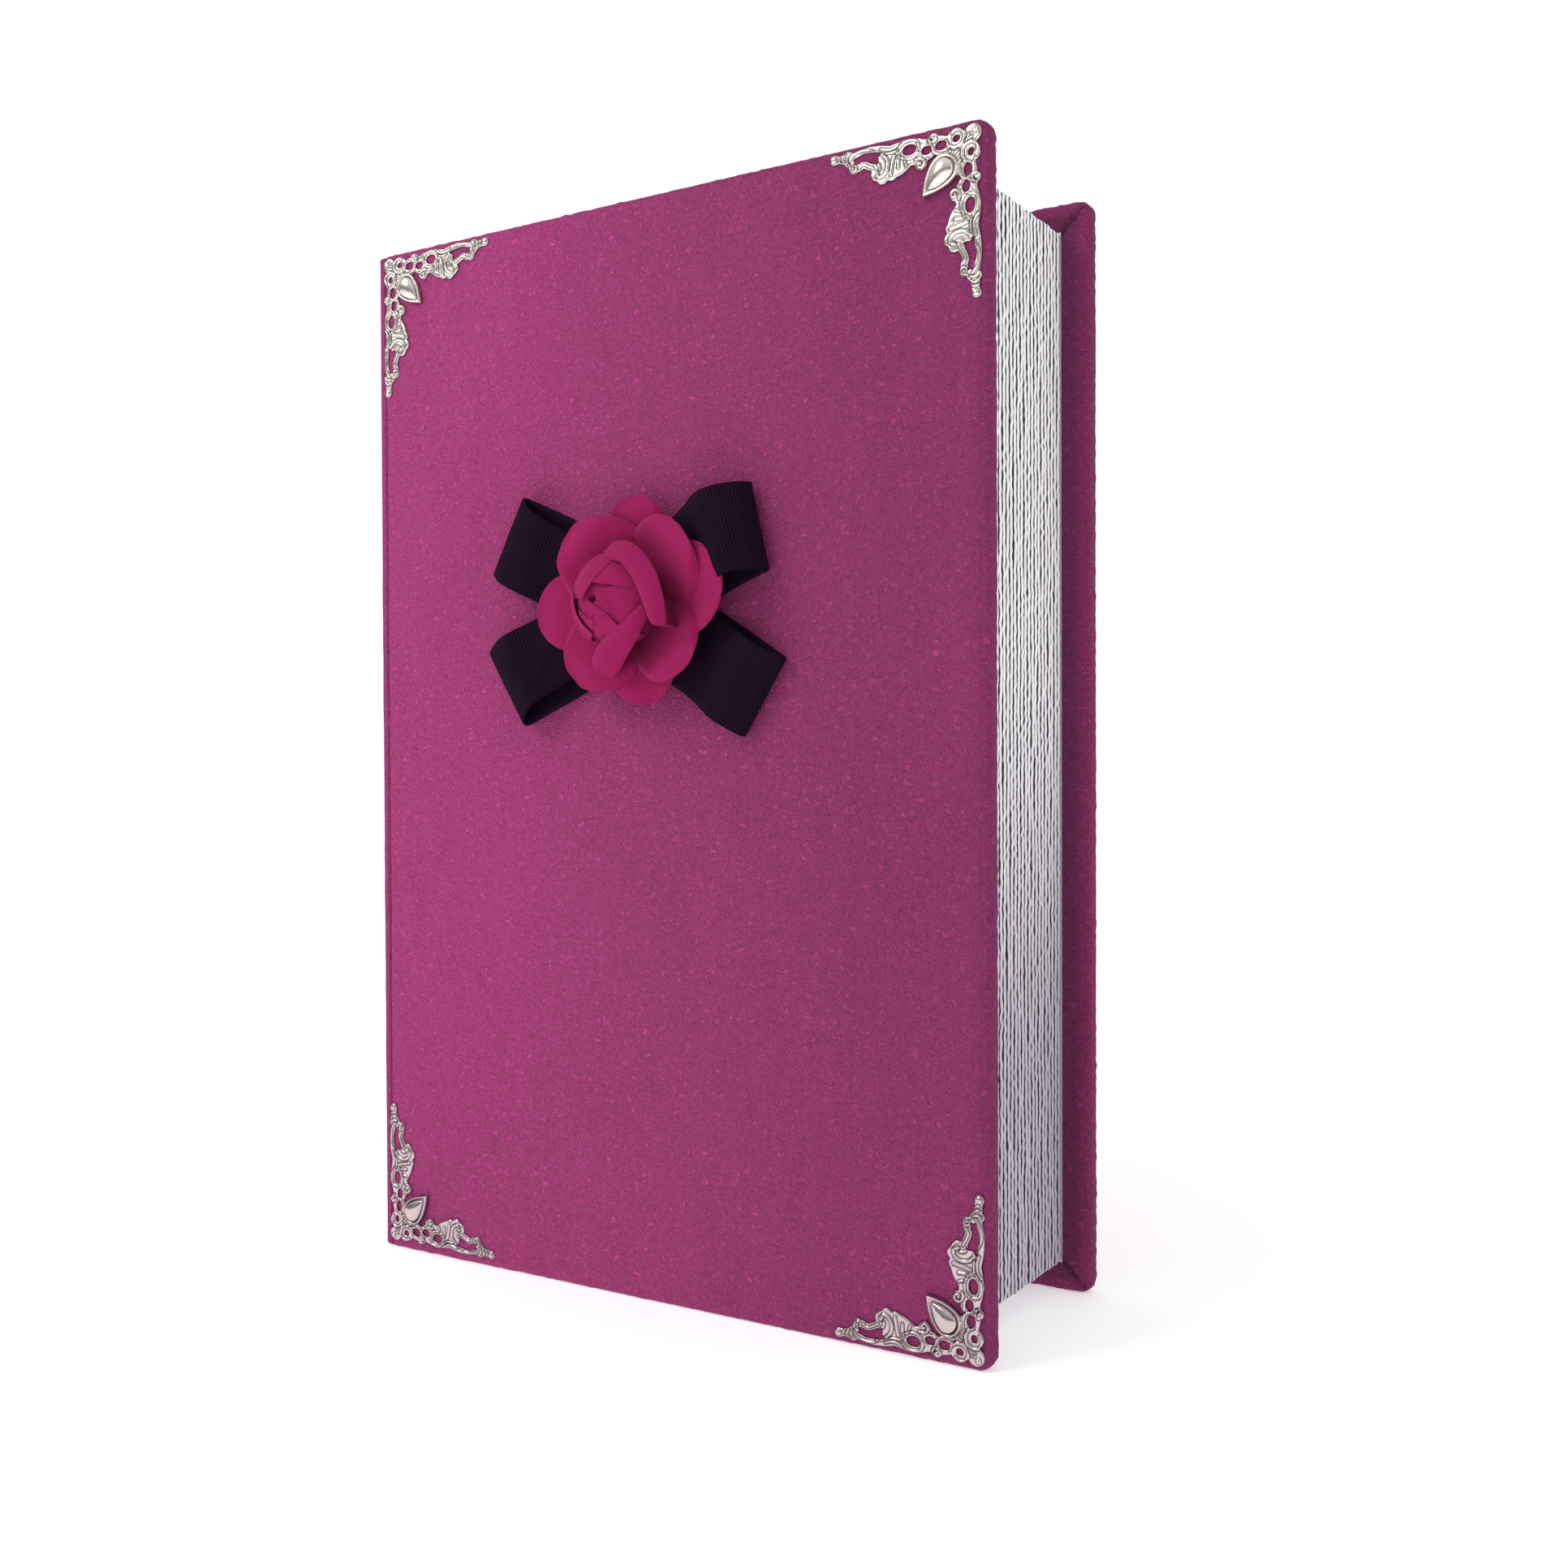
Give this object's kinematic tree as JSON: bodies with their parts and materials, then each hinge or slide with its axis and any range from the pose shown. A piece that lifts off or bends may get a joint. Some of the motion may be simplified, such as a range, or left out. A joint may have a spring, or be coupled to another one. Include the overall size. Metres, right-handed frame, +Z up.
{
  "type": "wedding guest book",
  "caption": "Upright hardback guest book in fuchsia velvet with stamped silver corners, a dark ribbon bow and a fabric rose; covers and silver-edged leaves turn on the spine.",
  "frame": {"origin": "middle of the whole object's box, on the surface that the book stands on", "axes": "+Z up along the spine, -Y out of the front cover with the rose, +X from the spine to the fore-edge"},
  "size_m": [0.214, 0.098, 0.317],
  "materials": {
    "greyboard": "matt grey board, hidden under the velvet",
    "velvet": "short-pile fuchsia velvet",
    "end_paper": "silver-grey end paper",
    "spine_cloth": "raspberry lining cloth",
    "stamped_silver": "bright stamped silver plate",
    "grosgrain": "near-black aubergine ribbed ribbon",
    "rose_felt": "raspberry felt",
    "rose_petal": "raspberry fabric with a suede-like face",
    "silvered_leaf": "thick card leaf with silvered edges"
  },
  "bodies": {
    "spine": {"spine_board": "greyboard", "spine_velvet": "velvet", "spine_lining": "spine_cloth", "front_joint_cloth": "velvet", "back_joint_cloth": "velvet"},
    "front_cover": {"front_board": "greyboard", "front_cover_velvet": "velvet", "front_lining": "end_paper", "corner_top_left": "stamped_silver", "corner_top_right": "stamped_silver", "corner_bottom_left": "stamped_silver", "corner_bottom_right": "stamped_silver", "ribbon_falling": "grosgrain", "ribbon_rising": "grosgrain", "rose_backing": "rose_felt", "rose_outer_petal_1": "rose_petal", "rose_outer_petal_2": "rose_petal", "rose_outer_petal_3": "rose_petal", "rose_outer_petal_4": "rose_petal", "rose_middle_petal_1": "rose_petal", "rose_middle_petal_2": "rose_petal", "rose_middle_petal_3": "rose_petal", "rose_middle_petal_4": "rose_petal", "rose_inner_petal_1": "rose_petal", "rose_inner_petal_2": "rose_petal", "rose_bud_wrap_1": "rose_petal", "rose_bud_wrap_2": "rose_petal", "rose_bud_wrap_3": "rose_petal", "rose_bud_core": "rose_petal"},
    "back_cover": {"back_board": "greyboard", "back_cover_velvet": "velvet", "back_lining": "end_paper"},
    "leaf_01": {"leaf_01": "silvered_leaf"},
    "leaf_02": {"leaf_02": "silvered_leaf"},
    "leaf_03": {"leaf_03": "silvered_leaf"},
    "leaf_04": {"leaf_04": "silvered_leaf"},
    "leaf_05": {"leaf_05": "silvered_leaf"},
    "leaf_06": {"leaf_06": "silvered_leaf"},
    "leaf_07": {"leaf_07": "silvered_leaf"},
    "leaf_08": {"leaf_08": "silvered_leaf"},
    "leaf_09": {"leaf_09": "silvered_leaf"},
    "leaf_10": {"leaf_10": "silvered_leaf"},
    "leaf_11": {"leaf_11": "silvered_leaf"},
    "leaf_12": {"leaf_12": "silvered_leaf"},
    "leaf_13": {"leaf_13": "silvered_leaf"},
    "leaf_14": {"leaf_14": "silvered_leaf"},
    "leaf_15": {"leaf_15": "silvered_leaf"},
    "leaf_16": {"leaf_16": "silvered_leaf"},
    "leaf_17": {"leaf_17": "silvered_leaf"},
    "leaf_18": {"leaf_18": "silvered_leaf"},
    "leaf_19": {"leaf_19": "silvered_leaf"},
    "leaf_20": {"leaf_20": "silvered_leaf"},
    "leaf_21": {"leaf_21": "silvered_leaf"},
    "leaf_22": {"leaf_22": "silvered_leaf"},
    "leaf_23": {"leaf_23": "silvered_leaf"},
    "leaf_24": {"leaf_24": "silvered_leaf"},
    "leaf_25": {"leaf_25": "silvered_leaf"},
    "leaf_26": {"leaf_26": "silvered_leaf"}
  },
  "joints": [
    {"name": "front_cover_hinge", "type": "hinge", "parent": "spine", "child": "front_cover", "pos_m": [-0.1032, -0.0267, 0.1585], "axis": [0, 0, -1], "range_deg": [0, 170]},
    {"name": "back_cover_hinge", "type": "hinge", "parent": "spine", "child": "back_cover", "pos_m": [-0.1032, 0.0487, 0.1585], "axis": [0, 0, 1], "range_deg": [0, 170]},
    {"name": "leaf_01_hinge", "type": "hinge", "parent": "spine", "child": "leaf_01", "pos_m": [-0.10225, -0.01925, 0.1585], "axis": [0, 0, -1], "range_deg": [0, 80.05]},
    {"name": "leaf_02_hinge", "type": "hinge", "parent": "spine", "child": "leaf_02", "pos_m": [-0.10225, -0.01683, 0.1585], "axis": [0, 0, -1], "range_deg": [0, 73.65]},
    {"name": "leaf_03_hinge", "type": "hinge", "parent": "spine", "child": "leaf_03", "pos_m": [-0.10225, -0.01441, 0.1585], "axis": [0, 0, -1], "range_deg": [0, 67.25]},
    {"name": "leaf_04_hinge", "type": "hinge", "parent": "spine", "child": "leaf_04", "pos_m": [-0.10225, -0.01199, 0.1585], "axis": [0, 0, -1], "range_deg": [0, 60.85]},
    {"name": "leaf_05_hinge", "type": "hinge", "parent": "spine", "child": "leaf_05", "pos_m": [-0.10225, -0.00957, 0.1585], "axis": [0, 0, -1], "range_deg": [0, 54.45]},
    {"name": "leaf_06_hinge", "type": "hinge", "parent": "spine", "child": "leaf_06", "pos_m": [-0.10225, -0.00715, 0.1585], "axis": [0, 0, -1], "range_deg": [0, 48.05]},
    {"name": "leaf_07_hinge", "type": "hinge", "parent": "spine", "child": "leaf_07", "pos_m": [-0.10225, -0.00473, 0.1585], "axis": [0, 0, -1], "range_deg": [0, 41.65]},
    {"name": "leaf_08_hinge", "type": "hinge", "parent": "spine", "child": "leaf_08", "pos_m": [-0.10225, -0.00231, 0.1585], "axis": [0, 0, -1], "range_deg": [0, 35.25]},
    {"name": "leaf_09_hinge", "type": "hinge", "parent": "spine", "child": "leaf_09", "pos_m": [-0.10225, 0.00011, 0.1585], "axis": [0, 0, -1], "range_deg": [0, 28.85]},
    {"name": "leaf_10_hinge", "type": "hinge", "parent": "spine", "child": "leaf_10", "pos_m": [-0.10225, 0.00253, 0.1585], "axis": [0, 0, -1], "range_deg": [0, 22.45]},
    {"name": "leaf_11_hinge", "type": "hinge", "parent": "spine", "child": "leaf_11", "pos_m": [-0.10225, 0.00495, 0.1585], "axis": [0, 0, -1], "range_deg": [0, 16.05]},
    {"name": "leaf_12_hinge", "type": "hinge", "parent": "spine", "child": "leaf_12", "pos_m": [-0.10225, 0.00737, 0.1585], "axis": [0, 0, -1], "range_deg": [0, 9.65]},
    {"name": "leaf_13_hinge", "type": "hinge", "parent": "spine", "child": "leaf_13", "pos_m": [-0.10225, 0.00979, 0.1585], "axis": [0, 0, -1], "range_deg": [0, 3.25]},
    {"name": "leaf_14_hinge", "type": "hinge", "parent": "spine", "child": "leaf_14", "pos_m": [-0.10225, 0.01221, 0.1585], "axis": [0, 0, 1], "range_deg": [0, 3.25]},
    {"name": "leaf_15_hinge", "type": "hinge", "parent": "spine", "child": "leaf_15", "pos_m": [-0.10225, 0.01463, 0.1585], "axis": [0, 0, 1], "range_deg": [0, 9.65]},
    {"name": "leaf_16_hinge", "type": "hinge", "parent": "spine", "child": "leaf_16", "pos_m": [-0.10225, 0.01705, 0.1585], "axis": [0, 0, 1], "range_deg": [0, 16.05]},
    {"name": "leaf_17_hinge", "type": "hinge", "parent": "spine", "child": "leaf_17", "pos_m": [-0.10225, 0.01947, 0.1585], "axis": [0, 0, 1], "range_deg": [0, 22.45]},
    {"name": "leaf_18_hinge", "type": "hinge", "parent": "spine", "child": "leaf_18", "pos_m": [-0.10225, 0.02189, 0.1585], "axis": [0, 0, 1], "range_deg": [0, 28.85]},
    {"name": "leaf_19_hinge", "type": "hinge", "parent": "spine", "child": "leaf_19", "pos_m": [-0.10225, 0.02431, 0.1585], "axis": [0, 0, 1], "range_deg": [0, 35.25]},
    {"name": "leaf_20_hinge", "type": "hinge", "parent": "spine", "child": "leaf_20", "pos_m": [-0.10225, 0.02673, 0.1585], "axis": [0, 0, 1], "range_deg": [0, 41.65]},
    {"name": "leaf_21_hinge", "type": "hinge", "parent": "spine", "child": "leaf_21", "pos_m": [-0.10225, 0.02915, 0.1585], "axis": [0, 0, 1], "range_deg": [0, 48.05]},
    {"name": "leaf_22_hinge", "type": "hinge", "parent": "spine", "child": "leaf_22", "pos_m": [-0.10225, 0.03157, 0.1585], "axis": [0, 0, 1], "range_deg": [0, 54.45]},
    {"name": "leaf_23_hinge", "type": "hinge", "parent": "spine", "child": "leaf_23", "pos_m": [-0.10225, 0.03399, 0.1585], "axis": [0, 0, 1], "range_deg": [0, 60.85]},
    {"name": "leaf_24_hinge", "type": "hinge", "parent": "spine", "child": "leaf_24", "pos_m": [-0.10225, 0.03641, 0.1585], "axis": [0, 0, 1], "range_deg": [0, 67.25]},
    {"name": "leaf_25_hinge", "type": "hinge", "parent": "spine", "child": "leaf_25", "pos_m": [-0.10225, 0.03883, 0.1585], "axis": [0, 0, 1], "range_deg": [0, 73.65]},
    {"name": "leaf_26_hinge", "type": "hinge", "parent": "spine", "child": "leaf_26", "pos_m": [-0.10225, 0.04125, 0.1585], "axis": [0, 0, 1], "range_deg": [0, 80.05]}
  ],
  "couplings": [
    {"joint": "leaf_01_hinge", "follows": "front_cover_hinge", "ratio": 0.47059},
    {"joint": "leaf_02_hinge", "follows": "front_cover_hinge", "ratio": 0.43294},
    {"joint": "leaf_03_hinge", "follows": "front_cover_hinge", "ratio": 0.39529},
    {"joint": "leaf_04_hinge", "follows": "front_cover_hinge", "ratio": 0.35765},
    {"joint": "leaf_05_hinge", "follows": "front_cover_hinge", "ratio": 0.32},
    {"joint": "leaf_06_hinge", "follows": "front_cover_hinge", "ratio": 0.28235},
    {"joint": "leaf_07_hinge", "follows": "front_cover_hinge", "ratio": 0.24471},
    {"joint": "leaf_08_hinge", "follows": "front_cover_hinge", "ratio": 0.20706},
    {"joint": "leaf_09_hinge", "follows": "front_cover_hinge", "ratio": 0.16941},
    {"joint": "leaf_10_hinge", "follows": "front_cover_hinge", "ratio": 0.13176},
    {"joint": "leaf_11_hinge", "follows": "front_cover_hinge", "ratio": 0.09412},
    {"joint": "leaf_12_hinge", "follows": "front_cover_hinge", "ratio": 0.05647},
    {"joint": "leaf_13_hinge", "follows": "front_cover_hinge", "ratio": 0.01882},
    {"joint": "leaf_14_hinge", "follows": "back_cover_hinge", "ratio": 0.01882},
    {"joint": "leaf_15_hinge", "follows": "back_cover_hinge", "ratio": 0.05647},
    {"joint": "leaf_16_hinge", "follows": "back_cover_hinge", "ratio": 0.09412},
    {"joint": "leaf_17_hinge", "follows": "back_cover_hinge", "ratio": 0.13176},
    {"joint": "leaf_18_hinge", "follows": "back_cover_hinge", "ratio": 0.16941},
    {"joint": "leaf_19_hinge", "follows": "back_cover_hinge", "ratio": 0.20706},
    {"joint": "leaf_20_hinge", "follows": "back_cover_hinge", "ratio": 0.24471},
    {"joint": "leaf_21_hinge", "follows": "back_cover_hinge", "ratio": 0.28235},
    {"joint": "leaf_22_hinge", "follows": "back_cover_hinge", "ratio": 0.32},
    {"joint": "leaf_23_hinge", "follows": "back_cover_hinge", "ratio": 0.35765},
    {"joint": "leaf_24_hinge", "follows": "back_cover_hinge", "ratio": 0.39529},
    {"joint": "leaf_25_hinge", "follows": "back_cover_hinge", "ratio": 0.43294},
    {"joint": "leaf_26_hinge", "follows": "back_cover_hinge", "ratio": 0.47059}
  ]
}
